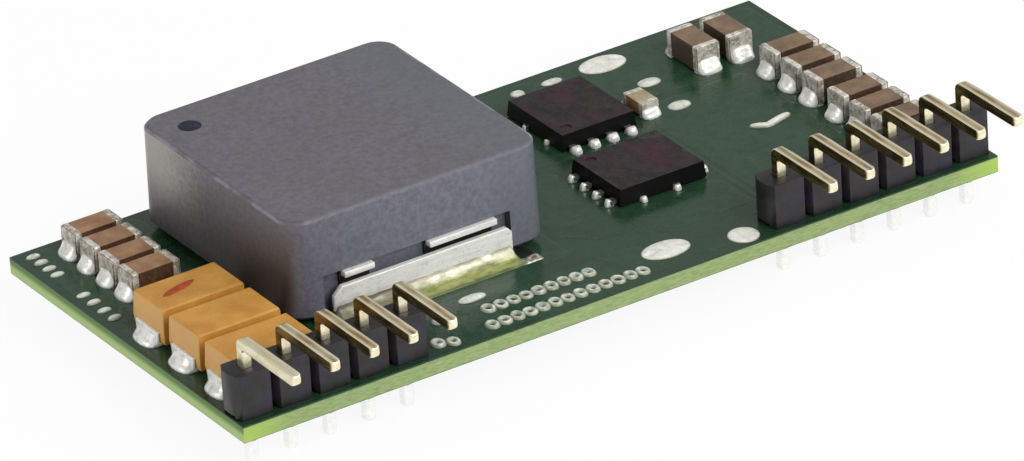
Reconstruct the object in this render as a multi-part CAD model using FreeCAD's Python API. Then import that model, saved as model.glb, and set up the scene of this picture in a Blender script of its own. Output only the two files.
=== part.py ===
import FreeCAD, Part
import math
import os

# Power converter module: a circuit board with a power inductor, two power packages, chip and
# tantalum capacitors, and two strips of right-angle square pins along its front edge.
# Lengths are millimetres. While it is drawn, x runs along the board from its left edge,
# y from its front edge to its back edge, and z up from its top face.
# frame_shift, at the end, then puts the origin under the middle of the whole part.

# Board
board_length = 50.8
board_width = 25.4
board_thickness = 1.05

# Square pins and their insulating strips
pin_pitch = 2.54
pin_width = 0.64
pin_row_y = 1.5
first_pin_x = 1.27
left_pin_count = 5
empty_places = 9
right_pin_count = 6
pin_run_height = 4.25
pin_reach = 4.15
pin_tail = 2.2
pin_bend_outside = 0.5
pin_bend_inside = 0.15
pin_tip_bevel = 0.12
strip_height = 2.8
strip_depth = 2.0
notch_half_width = 0.28
notch_depth = 0.6
strip_foot_height = 0.25
strip_foot_length = 0.45
pin_hole_diameter = 1.0
pin_joint_diameter = 1.75
pin_joint_height = 0.75
pin_joint_neck = 0.1
pin_joint_sides = 8

# Solder under and beside each part's terminals
solder_height = 0.08
pad_margin = 0.06
joint_hollow = 0.35

# Power inductor
inductor_length = 17.05
inductor_width = 16.85
inductor_height = 6.6
inductor_left = 7.99
inductor_front = 7.33
inductor_corner = 1.55
inductor_draft = 0.1
inductor_top_chamfer = 0.2
inductor_foot_chamfer = 0.2
recess_length = 12.45
recess_height = 2.9
recess_depth = 0.6
recess_from_left = 2.01
mark_diameter = 1.4
mark_depth = 0.05
mark_from_left = 2.25
mark_from_back = 2.62

# Inductor terminals, folded from wide strip down the recess and in under the moulding
terminal_length = 11.85
terminal_from_left = 2.48
terminal_thickness = 0.35
terminal_height = 2.07
terminal_foot = 2.6
terminal_bend_radius = 0.2
terminal_left_snip = 0.55
terminal_right_snip = 0.3
terminal_proud = 0.3
tongue_thickness = 0.35
tongue_below_recess = 0.05
tongue_setback = 0.05
tongue_entry = 1.2
tongue_ends = ((0.8, 2.8), (6.45, 10.95))
web_thickness = 0.2
web_overlap = 0.75
web_drop = 0.2
inductor_pad_length = 14.4
inductor_pad_reach = 1.05
inductor_rear_pad_reach = 0.7
inductor_bank_rise = 0.85
inductor_base = solder_height + terminal_thickness

# Tantalum capacitors
tantalum_count = 3
tantalum_left = 1.2
tantalum_front = 2.58
tantalum_pitch = 3.84
tantalum_length = 5.5
tantalum_width = 3.35
tantalum_top = 2.5
tantalum_parting = 0.95
tantalum_draft = 0.08
tantalum_edge = 0.1
tantalum_strip_width = 2.3
tantalum_strip_thickness = 0.15
tantalum_strip_foot = 1.3
tantalum_strip_entry = 0.5
tantalum_joint_reach = 0.5
tantalum_joint_height = 0.7

# Chip capacitors of the largest size: length, width, height and plated end
ceramic_length = 3.2
ceramic_width = 1.65
ceramic_height = 1.6
ceramic_end = 0.5
end_wall = 0.03
end_bevel = 0.08
ceramic_joint_reach = 0.42
ceramic_joint_height = 0.75

# Chip capacitor banks: left end, front face of the first one, and the steps along y
left_bank_x = 2.78
left_bank_y = 16.28
left_bank_pitch = 2.08
left_bank_count = 4
right_bank_x = 46.22
right_bank_y = 4.5
right_bank_pitch = 2.19
right_bank_gap = 0.43
right_bank_groups = (3, 3)
rear_bank_x = 43.08
rear_bank_y = 19.35
rear_bank_pitch = 2.3
rear_bank_count = 2

# Small chip capacitor beside the rear power package
small_length = 2.0
small_width = 1.25
small_height = 0.85
small_end = 0.4
small_x = 37.45
small_y = 16.75
small_joint_reach = 0.35
small_joint_height = 0.45

# Power packages
package_width = 5.15
package_length = 5.9
package_height = 1.0
package_draft = 0.1
package_rear_x = 31.5
package_rear_y = 16.05
package_front_x = 30.4
package_front_y = 8.3
lead_pitch = 1.27
lead_count = 4
lead_width = 0.42
lead_thickness = 0.25
lead_reach = 0.4
lead_entry = 0.7
lead_pad_margin = 0.12
tab_length = 4.0
tab_width = 4.2
stub_reach = 0.25
side_stub_places = (1.5, 3.8)
side_stub_reach = 0.12
side_stub_entry = 0.3
package_joint_reach = 0.38
package_joint_rise = 0.35
side_joint_reach = 0.22
side_joint_rise = 0.25
dimple_diameter = 0.7
dimple_depth = 0.06
dimple_inset = 0.85

# Small plated rings of the through holes, in two rows
via_bore = 0.34
via_ring = 0.76
via_ring_height = 0.03
small_round_sides = 8
pad_round_sides = 16
via_pitch = 0.84
via_rows = ((17.1, 1.2, 13), (17.95, 2.95, 9))
lone_vias = ((13.55, 1.3), (14.35, 0.95))

# Bare tinned pads: centre x, centre y, length along x and width along y
pad_height = 0.06
oval_pads = ((29.6, 2.5, 3.1, 2.0), (39.45, 23.95, 3.1, 2.0))
round_pads = ((34.0, 1.16, 1.9), (14.86, 3.4, 0.7))
small_pads = (
    (33.5, 23.9, 0.9, 0.8),
    (40.05, 16.75, 1.5, 1.0),
    (40.3, 20.3, 1.5, 1.0),
    (35.9, 23.95, 1.4, 0.7),
    (43.1, 11.6, 2.8, 0.45),
    (17.9, 4.55, 1.8, 0.8),
    (1.05, 24.5, 0.9, 0.5),
    (1.05, 23.6, 0.9, 0.5),
    (1.05, 22.7, 0.9, 0.5),
    (1.05, 21.8, 0.9, 0.5),
    (0.95, 18.75, 0.9, 0.5),
    (0.95, 17.6, 0.9, 0.5),
    (0.95, 16.45, 0.9, 0.5),
    (0.95, 15.3, 0.9, 0.5),
)

# Underside: control chip with gull-wing leads, chip resistors and chip capacitors
chip_x = 31.0
chip_y = 9.2
chip_length = 5.0
chip_width = 4.4
chip_height = 0.95
chip_standoff = 0.12
chip_parting = 0.5
chip_draft = 0.1
chip_lead_pitch = 0.65
chip_lead_count = 8
chip_lead_width = 0.24
chip_lead_thickness = 0.15
chip_lead_span = 6.4
chip_lead_foot = 0.55
resistor_length = 1.6
resistor_width = 0.8
resistor_height = 0.5
resistor_end = 0.3
resistor_joint_reach = 0.25
resistor_joint_height = 0.3
resistor_places = ((25.4, 8.0), (25.4, 10.0), (35.0, 8.0), (35.0, 10.0))
under_ceramic_places = ((6.0, 22.9), (24.0, 22.9), (42.0, 22.9))

# Workshop values: how near an edge lies to the height it is picked by, and how far a cut
# runs past the face it opens
pick_margin = 0.01
cut_past = 1.0

# How far the middle of a quarter-circle arc lies from its square corner, as a share of the radius
arc_share = 1 - math.sqrt(0.5)


def vec(x, y, z):
    return FreeCAD.Vector(x, y, z)


def span_box(x, y, z):
    """A box between a low and a high value along each axis."""
    return Part.makeBox(x[1] - x[0], y[1] - y[0], z[1] - z[0], vec(x[0], y[0], z[0]))


def fuse(shapes):
    """One clean solid from shapes that touch or overlap."""
    whole = shapes[0]
    if len(shapes) > 1:
        whole = whole.fuse(shapes[1:]).removeSplitter()
    return whole.Solids[0]


def turned(shape, degrees):
    """A copy turned about the vertical line through the origin."""
    copy = shape.copy()
    copy.rotate(vec(0, 0, 0), vec(0, 0, 1), degrees)
    return copy


def moved(shape, x, y, z=0.0):
    copy = shape.copy()
    copy.translate(vec(x, y, z))
    return copy


def prism(corners, direction):
    """A straight prism on a flat polygon."""
    outline = Part.makePolygon(corners + [corners[0]])
    return Part.Face(outline).extrude(direction)


def side_prism(profile, x):
    """A prism along x on a profile of (y, z) corners."""
    return prism([vec(x[0], y, z) for y, z in profile], vec(x[1] - x[0], 0, 0))


def cross_prism(profile, y):
    """A prism along y on a profile of (x, z) corners."""
    return prism([vec(x, y[0], z) for x, z in profile], vec(0, y[1] - y[0], 0))


def round_prism(x, y, diameter, z, sides, top_diameter=None):
    """A many-sided prism or cone in place of a small round one, to keep its facets few."""
    def ring(across, height):
        corners = []
        for step in range(sides):
            angle = 2 * math.pi * step / sides
            corners.append(vec(x + across / 2 * math.cos(angle), y + across / 2 * math.sin(angle), height))
        return Part.makePolygon(corners + [corners[0]])
    return Part.makeLoft([ring(diameter, z[0]), ring(top_diameter or diameter, z[1])], True, True)


def tapered_block(low, high, z, inset):
    """A block whose four sides lean in by inset from its lower to its upper face."""
    def ring(grow, height):
        corners = [
            vec(low[0] + grow, low[1] + grow, height),
            vec(high[0] - grow, low[1] + grow, height),
            vec(high[0] - grow, high[1] - grow, height),
            vec(low[0] + grow, high[1] - grow, height),
        ]
        return Part.makePolygon(corners + [corners[0]])
    return Part.makeLoft([ring(0.0, z[0]), ring(inset, z[1])], True, True)


def rounded_outline(low, high, radius, height):
    """A closed rectangle with round corners, as lines and tangent arcs."""
    half = radius * arc_share
    x0, y0 = low
    x1, y1 = high
    edges = [
        Part.makeLine(vec(x0 + radius, y0, height), vec(x1 - radius, y0, height)),
        Part.Arc(vec(x1 - radius, y0, height), vec(x1 - half, y0 + half, height),
                 vec(x1, y0 + radius, height)).toShape(),
        Part.makeLine(vec(x1, y0 + radius, height), vec(x1, y1 - radius, height)),
        Part.Arc(vec(x1, y1 - radius, height), vec(x1 - half, y1 - half, height),
                 vec(x1 - radius, y1, height)).toShape(),
        Part.makeLine(vec(x1 - radius, y1, height), vec(x0 + radius, y1, height)),
        Part.Arc(vec(x0 + radius, y1, height), vec(x0 + half, y1 - half, height),
                 vec(x0, y1 - radius, height)).toShape(),
        Part.makeLine(vec(x0, y1 - radius, height), vec(x0, y0 + radius, height)),
        Part.Arc(vec(x0, y0 + radius, height), vec(x0 + half, y0 + half, height),
                 vec(x0 + radius, y0, height)).toShape(),
    ]
    return Part.Wire(edges)


def pin_places(first, count):
    """The x of each pin of a strip, whose first pin stands that many pitches along the row."""
    return [first_pin_x + (first + step) * pin_pitch for step in range(count)]


def via_places():
    """Centre of every small plated hole."""
    places = list(lone_vias)
    for start, y, count in via_rows:
        places += [(start + step * via_pitch, y) for step in range(count)]
    return places


# Circuit board

def circuit_board():
    board = span_box((0, board_length), (0, board_width), (-board_thickness, 0))
    bores = []
    for x in left_pins + right_pins:
        bores.append(round_prism(x, pin_row_y, pin_hole_diameter, (-board_thickness, 0), small_round_sides))
    return board.cut(bores)


def plated_via(x, y):
    """A small plated ring that stands a little proud of the board, round its bore."""
    ring = round_prism(x, y, via_ring, (0, via_ring_height), small_round_sides)
    return ring.cut(round_prism(x, y, via_bore, (0, via_ring_height), small_round_sides))


def oval_pad(x, y, length, width):
    """A tinned pad with half-round ends."""
    reach = (length - width) / 2
    z = (0, pad_height)
    middle = span_box((x - reach, x + reach), (y - width / 2, y + width / 2), z)
    ends = [round_prism(x + side * reach, y, width, z, pad_round_sides) for side in (-1, 1)]
    return fuse([middle] + ends)


def square_pad(x, y, length, width):
    return span_box((x - length / 2, x + length / 2), (y - width / 2, y + width / 2), (0, pad_height))


# Header strips and pins

def header_strip(places):
    """An insulating strip: one chamfered segment per pin, with a V notch between segments."""
    front = pin_row_y - strip_depth / 2
    back = pin_row_y + strip_depth / 2
    half = pin_pitch / 2
    segments = []
    for x in places:
        corners = [
            (x - half, front + notch_depth), (x - half + notch_half_width, front),
            (x + half - notch_half_width, front), (x + half, front + notch_depth),
            (x + half, back - notch_depth), (x + half - notch_half_width, back),
            (x - half + notch_half_width, back), (x - half, back - notch_depth),
        ]
        segments.append(prism([vec(cx, cy, 0) for cx, cy in corners], vec(0, 0, strip_height)))
    strip = fuse(segments)
    clear = (front + strip_foot_length, back - strip_foot_length)
    length = (places[0] - half, places[-1] + half)
    cuts = [span_box(length, clear, (0, strip_foot_height))]
    for x in places:
        cuts.append(span_box((x - pin_width / 2, x + pin_width / 2),
                             (pin_row_y - pin_width / 2, pin_row_y + pin_width / 2), (0, strip_height)))
    return strip.cut(cuts)


def bent_pin(x):
    """A square pin: a tail through the board, up through the strip and forward over the edge."""
    back = pin_row_y + pin_width / 2
    front = pin_row_y - pin_width / 2
    top = pin_run_height + pin_width / 2
    under = pin_run_height - pin_width / 2
    tail = -board_thickness - pin_tail
    left = x - pin_width / 2
    outer = pin_bend_outside
    inner = pin_bend_inside

    def at(y, z):
        return vec(left, y, z)

    outside = Part.Arc(at(back, top - outer), at(back - outer * arc_share, top - outer * arc_share),
                       at(back - outer, top)).toShape()
    inside = Part.Arc(at(front - inner, under), at(front - inner * arc_share, under - inner * arc_share),
                      at(front, under - inner)).toShape()
    edges = [
        Part.makeLine(at(back, tail), at(back, top - outer)),
        outside,
        Part.makeLine(at(back - outer, top), at(-pin_reach, top)),
        Part.makeLine(at(-pin_reach, top), at(-pin_reach, under)),
        Part.makeLine(at(-pin_reach, under), at(front - inner, under)),
        inside,
        Part.makeLine(at(front, under - inner), at(front, tail)),
        Part.makeLine(at(front, tail), at(back, tail)),
    ]
    pin = Part.Face(Part.Wire(edges)).extrude(vec(pin_width, 0, 0))
    ends = []
    for edge in pin.Edges:
        box = edge.BoundBox
        at_tip = box.YMax < -pin_reach + pin_tip_bevel
        at_tail = box.ZMax < tail + pin_tip_bevel
        if at_tip or at_tail:
            ends.append(edge)
    return pin.makeChamfer(pin_tip_bevel, ends)


def pin_joint(x):
    """Solder that stands as a cone round a pin's tail, against the board's underside."""
    base = -board_thickness
    neck = pin_width * math.sqrt(2) + 2 * pin_joint_neck
    cone = round_prism(x, pin_row_y, neck, (base - pin_joint_height, base), pin_joint_sides,
                       pin_joint_diameter)
    pin = span_box((x - pin_width / 2, x + pin_width / 2),
                   (pin_row_y - pin_width / 2, pin_row_y + pin_width / 2), (base - pin_joint_height, base))
    return cone.cut(pin)


# Power inductor

def inductor_body():
    low = (inductor_left, inductor_front)
    high = (inductor_left + inductor_length, inductor_front + inductor_width)
    lean = inductor_draft
    bottom = rounded_outline(low, high, inductor_corner, inductor_base)
    top = rounded_outline((low[0] + lean, low[1] + lean), (high[0] - lean, high[1] - lean),
                          inductor_corner - lean, inductor_height)
    body = Part.makeLoft([bottom, top], True, True)
    rim = [e for e in body.Edges if e.BoundBox.ZMin > inductor_height - pick_margin]
    body = body.makeChamfer(inductor_top_chamfer, rim)
    foot = [e for e in body.Edges if e.BoundBox.ZMax < inductor_base + pick_margin]
    body = body.makeChamfer(inductor_foot_chamfer, foot)
    recess_z = (inductor_base, recess_height)
    recess_start = inductor_left + recess_from_left
    recess = span_box((recess_start, recess_start + recess_length),
                      (inductor_front - cut_past, inductor_front + recess_depth), recess_z)
    mark = round_prism(low[0] + mark_from_left, high[1] - mark_from_back, mark_diameter,
                       (inductor_height - mark_depth, inductor_height), pad_round_sides)
    front = inductor_terminal()
    return body.cut([recess, to_rear(recess), front, to_rear(front), mark])


def to_rear(shape):
    """A copy of something at the inductor's front, turned half round to its back."""
    copy = shape.copy()
    middle = vec(inductor_left + inductor_length / 2, inductor_front + inductor_width / 2, 0)
    copy.rotate(middle, vec(0, 0, 1), 180)
    return copy


def inductor_terminal():
    """The front terminal: tongues out of the moulding, a face plate and a foot folded under it."""
    left = inductor_left + terminal_from_left
    right = left + terminal_length
    face = inductor_front - terminal_proud
    back = face + terminal_thickness
    base = solder_height
    heel = face + terminal_foot
    inner = terminal_bend_radius
    outer = terminal_bend_radius + terminal_thickness

    def at(y, z):
        return vec(left, y, z)

    outside = Part.Arc(at(face + outer, base), at(face + outer * arc_share, base + outer * arc_share),
                       at(face, base + outer)).toShape()
    inside = Part.Arc(at(back, inductor_base + inner),
                      at(back + inner * arc_share, inductor_base + inner * arc_share),
                      at(back + inner, inductor_base)).toShape()
    edges = [
        Part.makeLine(at(heel, base), at(face + outer, base)),
        outside,
        Part.makeLine(at(face, base + outer), at(face, terminal_height)),
        Part.makeLine(at(face, terminal_height), at(back, terminal_height)),
        Part.makeLine(at(back, terminal_height), at(back, inductor_base + inner)),
        inside,
        Part.makeLine(at(back + inner, inductor_base), at(heel, inductor_base)),
        Part.makeLine(at(heel, inductor_base), at(heel, base)),
    ]
    plate = Part.Face(Part.Wire(edges)).extrude(vec(terminal_length, 0, 0))
    tip = terminal_height
    snips = [
        cross_prism([(left, tip - terminal_left_snip), (left + terminal_left_snip, tip), (left, tip)],
                    (face, back)),
        cross_prism([(right, tip - terminal_right_snip), (right, tip), (right - terminal_right_snip, tip)],
                    (face, back)),
    ]
    pieces = [plate.cut(snips)]
    tongue_top = recess_height - tongue_below_recess
    deep = inductor_front + recess_depth
    web = [
        (back, tip - web_overlap), (deep, tip - web_overlap), (deep, tongue_top),
        (deep - web_thickness, tongue_top), (deep - web_thickness, tip - web_drop), (back, tip - web_drop),
    ]
    for start, end in tongue_ends:
        along = (left + start, left + end)
        pieces.append(span_box(along, (face + tongue_setback, inductor_front + tongue_entry),
                               (tongue_top - tongue_thickness, tongue_top)))
        pieces.append(side_prism(web, along))
    return fuse(pieces)


def inductor_joint(reach):
    """Solder under the front terminal's foot, and a bank of it that climbs the face plate."""
    middle = inductor_left + inductor_length / 2
    face = inductor_front - terminal_proud
    toe = face - reach
    under = span_box((middle - inductor_pad_length / 2, middle + inductor_pad_length / 2),
                     (toe, face + terminal_foot), (0, solder_height))
    left = inductor_left + terminal_from_left
    bend = terminal_bend_radius + terminal_thickness
    bank = side_prism([(toe, solder_height), (face + bend, solder_height),
                       (face, solder_height + bend), (face, solder_height + inductor_bank_rise)],
                      (left, left + terminal_length))
    return fuse([under, bank]).cut(inductor_terminal())


# Chip parts: drawn along x with the left end at x = 0, centred on y = 0, standing on z = 0

def chip_core(length, width, height):
    """The ceramic block between and inside the plated ends."""
    return span_box((end_wall, length - end_wall), (end_wall - width / 2, width / 2 - end_wall),
                    (end_wall, height - end_wall))


def chip_ends(length, width, height, end):
    """Two plated ends that wrap the block, with bevelled outer edges."""
    outer = span_box((0, end), (-width / 2, width / 2), (0, height))
    rim = [e for e in outer.Edges if e.BoundBox.XMax < end_wall]
    left = outer.makeChamfer(end_bevel, rim)
    right = moved(turned(left, 180), length, 0)
    core = chip_core(length, width, height)
    return [left.cut(core), right.cut(core)]


def end_joint(width, inward, reach, rise):
    """Solder at a left end: a flat layer under the terminal and a slope up its face."""
    t = solder_height
    profile = [
        (inward, 0), (-reach, 0), (-reach, t), (-reach * joint_hollow, t + rise * joint_hollow),
        (0, t + rise), (0, t), (inward, t),
    ]
    return cross_prism(profile, (-width / 2, width / 2))


def chip_joints(length, width, end, reach, rise):
    left = end_joint(width + 2 * pad_margin, end, reach, rise)
    right = moved(turned(left, 180), length, 0)
    return [left, right]


def chip_set(places, size, joint, along_y=False, below=False):
    """Cores, plated ends and solder joints of like chip parts, each set down at its place."""
    length, width, height, end = size
    reach, rise = joint
    cores = []
    ends = []
    joints = []
    for x, y in places:
        core = moved(chip_core(length, width, height), 0, 0, solder_height)
        pair = [moved(e, 0, 0, solder_height) for e in chip_ends(length, width, height, end)]
        solder = chip_joints(length, width, end, reach, rise)
        whole = [core] + pair + solder
        if along_y:
            whole = [moved(turned(s, 90), x + width / 2, y) for s in whole]
        else:
            whole = [moved(s, x, y + width / 2) for s in whole]
        if below:
            whole = [turned_over(s, y + width / 2) for s in whole]
        cores.append(whole[0])
        ends += whole[1:3]
        joints += whole[3:]
    return cores, ends, joints


def turned_over(shape, axis_y):
    """A shape from the top face, turned over about its own long line on to the underside."""
    copy = shape.copy()
    copy.rotate(vec(0, axis_y, -board_thickness / 2), vec(1, 0, 0), 180)
    return copy


# Tantalum capacitors: drawn like the chip parts

def tantalum_case():
    foot = solder_height + tantalum_strip_thickness
    half = tantalum_width / 2
    lean = tantalum_draft
    upper = tapered_block((0, -half), (tantalum_length, half), (tantalum_parting, tantalum_top), lean)
    rim = [e for e in upper.Edges if e.BoundBox.ZMin > tantalum_top - pick_margin]
    upper = upper.makeChamfer(tantalum_edge, rim)
    lower = tapered_block((lean, lean - half), (tantalum_length - lean, half - lean),
                          (foot, tantalum_parting), -lean)
    case = fuse([upper, lower])
    return case.cut(tantalum_terminals())


def tantalum_terminals():
    """Strip that leaves the case at its parting line and folds down under it, at both ends."""
    t = tantalum_strip_thickness
    top = tantalum_parting
    base = solder_height
    profile = [
        (-t, base), (tantalum_strip_foot, base), (tantalum_strip_foot, base + t), (0, base + t),
        (0, top - t), (tantalum_strip_entry, top - t), (tantalum_strip_entry, top), (-t, top),
    ]
    half = tantalum_strip_width / 2
    left = cross_prism(profile, (-half, half))
    right = moved(turned(left, 180), tantalum_length, 0)
    return [left, right]


def tantalum_joints():
    t = tantalum_strip_thickness
    left = moved(end_joint(tantalum_strip_width + 2 * pad_margin, tantalum_strip_foot + t,
                           tantalum_joint_reach, tantalum_joint_height), -t, 0)
    right = moved(turned(left, 180), tantalum_length, 0)
    return [left, right]


# Power packages: drawn with the leads towards -y, the body's left front corner at the origin

def lead_places():
    """The x of each lead, spaced about the body's middle."""
    first = package_width / 2 - lead_pitch * (lead_count - 1) / 2
    return [first + step * lead_pitch for step in range(lead_count)]


def package_metal():
    """Four leads under the front of the body, and the wide tab with stubs at its back and sides."""
    z = (solder_height, solder_height + lead_thickness)
    metal = []
    for x in lead_places():
        metal.append(span_box((x - lead_width / 2, x + lead_width / 2), (-lead_reach, lead_entry), z))
    side = (package_width - tab_width) / 2
    tab = [span_box((side, side + tab_width), (package_length - tab_length, package_length), z)]
    for x in lead_places():
        tab.append(span_box((x - lead_width / 2, x + lead_width / 2),
                            (package_length - lead_entry, package_length + stub_reach), z))
    for y in side_stub_places:
        tab.append(span_box((-side_stub_reach, package_width + side_stub_reach),
                            (y - lead_width / 2, y + lead_width / 2), z))
    metal.append(fuse(tab))
    return metal


def package_body():
    top = solder_height + package_height
    body = tapered_block((0, 0), (package_width, package_length), (solder_height, top), package_draft)
    dimple = round_prism(dimple_inset, dimple_inset, dimple_diameter, (top - dimple_depth, top),
                         small_round_sides)
    return body.cut(package_metal() + [dimple])


def package_joints():
    """Solder under each lead, the tab and its stubs, reaching a little past the metal."""
    joints = []
    for x in lead_places():
        joint = end_joint(lead_width + 2 * lead_pad_margin, lead_entry + lead_reach, package_joint_reach,
                          package_joint_rise)
        joints.append(moved(turned(joint, 90), x, -lead_reach))
    side = (package_width - tab_width) / 2
    tab = [span_box((side, side + tab_width), (package_length - tab_length, package_length),
                    (0, solder_height))]
    for x in lead_places():
        joint = end_joint(lead_width + 2 * lead_pad_margin, lead_entry, package_joint_reach,
                          package_joint_rise)
        tab.append(moved(turned(joint, -90), x, package_length + stub_reach))
    joints.append(fuse(tab))
    for y in side_stub_places:
        joint = end_joint(lead_width, side_stub_entry, side_joint_reach, side_joint_rise)
        joints.append(moved(joint, -side_stub_reach, y))
        joints.append(moved(turned(joint, 180), package_width + side_stub_reach, y))
    return joints


# Control chip under the board: drawn along x about the origin, standing on z = 0

def control_body():
    base = solder_height + chip_standoff
    split = solder_height + chip_parting
    top = base + chip_height
    low = (-chip_length / 2, -chip_width / 2)
    high = (chip_length / 2, chip_width / 2)
    lean = chip_draft
    upper = tapered_block(low, high, (split, top), lean)
    lower = tapered_block((low[0] + lean, low[1] + lean), (high[0] - lean, high[1] - lean),
                          (base, split), -lean)
    return fuse([upper, lower])


def control_leads():
    """Gull-wing leads: a foot on the board, a riser and a shoulder at the body's parting line."""
    t = chip_lead_thickness
    base = solder_height
    shoulder = solder_height + chip_parting
    wall = chip_width / 2
    toe = chip_lead_span / 2
    heel = toe - chip_lead_foot
    step = (heel - wall) / 2
    profile = [
        (-toe, base), (-heel, base), (-wall - step, shoulder - t), (-wall, shoulder - t),
        (-wall, shoulder), (-wall - step - t / 2, shoulder), (-heel - t / 2, base + t), (-toe, base + t),
    ]
    leads = []
    for number in range(chip_lead_count):
        x = (number - (chip_lead_count - 1) / 2) * chip_lead_pitch
        lead = side_prism(profile, (x - chip_lead_width / 2, x + chip_lead_width / 2))
        leads += [lead, turned(lead, 180)]
    return leads


def control_joints():
    joints = []
    toe = chip_lead_span / 2
    for number in range(chip_lead_count):
        x = (number - (chip_lead_count - 1) / 2) * chip_lead_pitch
        half = chip_lead_width / 2 + pad_margin
        for side in (-1, 1):
            ends = sorted((side * (toe - chip_lead_foot), side * (toe + chip_lead_thickness)))
            joints.append(span_box((x - half, x + half), ends, (0, solder_height)))
    return joints


def stepped_places(x, y, pitch, count):
    return [(x, y + step * pitch) for step in range(count)]


# Assembly

left_pins = pin_places(0, left_pin_count)
right_pins = pin_places(left_pin_count + empty_places, right_pin_count)
ceramic_size = (ceramic_length, ceramic_width, ceramic_height, ceramic_end)
ceramic_joint = (ceramic_joint_reach, ceramic_joint_height)
small_size = (small_length, small_width, small_height, small_end)
small_joint = (small_joint_reach, small_joint_height)
resistor_size = (resistor_length, resistor_width, resistor_height, resistor_end)
resistor_joint = (resistor_joint_reach, resistor_joint_height)

nodes = {}
nodes["circuit_board"] = [circuit_board()]
nodes["plated_vias"] = [plated_via(x, y) for x, y in via_places()]
nodes["bare_pads"] = [oval_pad(*pad) for pad in oval_pads]
nodes["bare_pads"] += [square_pad(*pad) for pad in small_pads]
nodes["bare_pads"] += [round_prism(x, y, d, (0, pad_height), pad_round_sides) for x, y, d in round_pads]

for side, places in (("left", left_pins), ("right", right_pins)):
    nodes[side + "_header_strip"] = [header_strip(places)]
    for number, x in enumerate(places, 1):
        nodes["%s_pin_%d" % (side, number)] = [bent_pin(x)]
nodes["pin_solder"] = [pin_joint(x) for x in left_pins + right_pins]

nodes["inductor_body"] = [inductor_body()]
nodes["inductor_front_terminal"] = [inductor_terminal()]
nodes["inductor_rear_terminal"] = [to_rear(inductor_terminal())]
nodes["inductor_solder"] = [inductor_joint(inductor_pad_reach)]
nodes["inductor_solder"] += [to_rear(inductor_joint(inductor_rear_pad_reach))]

nodes["tantalum_solder"] = []
for number in range(tantalum_count):
    y = tantalum_front + tantalum_width / 2 + number * tantalum_pitch
    nodes["tantalum_case_%d" % (number + 1)] = [moved(tantalum_case(), tantalum_left, y)]
    nodes["tantalum_terminals_%d" % (number + 1)] = [moved(s, tantalum_left, y)
                                                     for s in tantalum_terminals()]
    nodes["tantalum_solder"] += [moved(s, tantalum_left, y) for s in tantalum_joints()]

right_places = []
for group, count in enumerate(right_bank_groups):
    start = right_bank_y + group * (right_bank_groups[0] * right_bank_pitch + right_bank_gap)
    right_places += stepped_places(right_bank_x, start, right_bank_pitch, count)
left_places = stepped_places(left_bank_x, left_bank_y, left_bank_pitch, left_bank_count)
rear_places = [(rear_bank_x + step * rear_bank_pitch, rear_bank_y) for step in range(rear_bank_count)]
nodes["ceramic_solder"] = []
for bank, places, along_y in (("left", left_places, False), ("right", right_places, False),
                              ("rear", rear_places, True)):
    cores, ends, joints = chip_set(places, ceramic_size, ceramic_joint, along_y)
    for number, core in enumerate(cores, 1):
        nodes["%s_ceramic_%d" % (bank, number)] = [core]
    nodes[bank + "_ceramic_ends"] = ends
    nodes["ceramic_solder"] += joints

cores, ends, joints = chip_set([(small_x, small_y)], small_size, small_joint, True)
nodes["small_ceramic"] = cores
nodes["small_ceramic_ends"] = ends
nodes["ceramic_solder"] += joints

nodes["package_solder"] = []
for name, x, y, turn in (("rear", package_rear_x, package_rear_y, 0),
                         ("front", package_front_x, package_front_y + package_width, -90)):
    nodes[name + "_power_package"] = [moved(turned(package_body(), turn), x, y)]
    nodes[name + "_power_leads"] = [moved(turned(s, turn), x, y) for s in package_metal()]
    nodes["package_solder"] += [moved(turned(s, turn), x, y) for s in package_joints()]

nodes["control_chip"] = [turned_over(moved(control_body(), chip_x, chip_y), chip_y)]
nodes["control_chip_leads"] = [turned_over(moved(s, chip_x, chip_y), chip_y) for s in control_leads()]
nodes["underside_solder"] = [turned_over(moved(s, chip_x, chip_y), chip_y) for s in control_joints()]
cores, ends, joints = chip_set(resistor_places, resistor_size, resistor_joint, False, True)
nodes["underside_resistors"] = cores
nodes["underside_resistor_ends"] = ends
nodes["underside_solder"] += joints
cores, ends, joints = chip_set(under_ceramic_places, ceramic_size, ceramic_joint, False, True)
nodes["underside_ceramics"] = cores
nodes["underside_ceramic_ends"] = ends
nodes["underside_solder"] += joints

# The part's own frame: origin under the middle of the whole part, at the tips of the pins' tails
frame_shift = vec(-board_length / 2, (pin_reach - board_width) / 2, board_thickness + pin_tail)

os.makedirs("parts", exist_ok=True)
for name, solids in nodes.items():
    shape = solids[0] if len(solids) == 1 else Part.makeCompound(solids)
    shape = shape.copy()
    shape.translate(frame_shift)
    shape.exportStep("parts/" + name + ".step")
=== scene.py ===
import math
import random

import bmesh
import bpy
from mathutils import Matrix, Vector, noise


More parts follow.
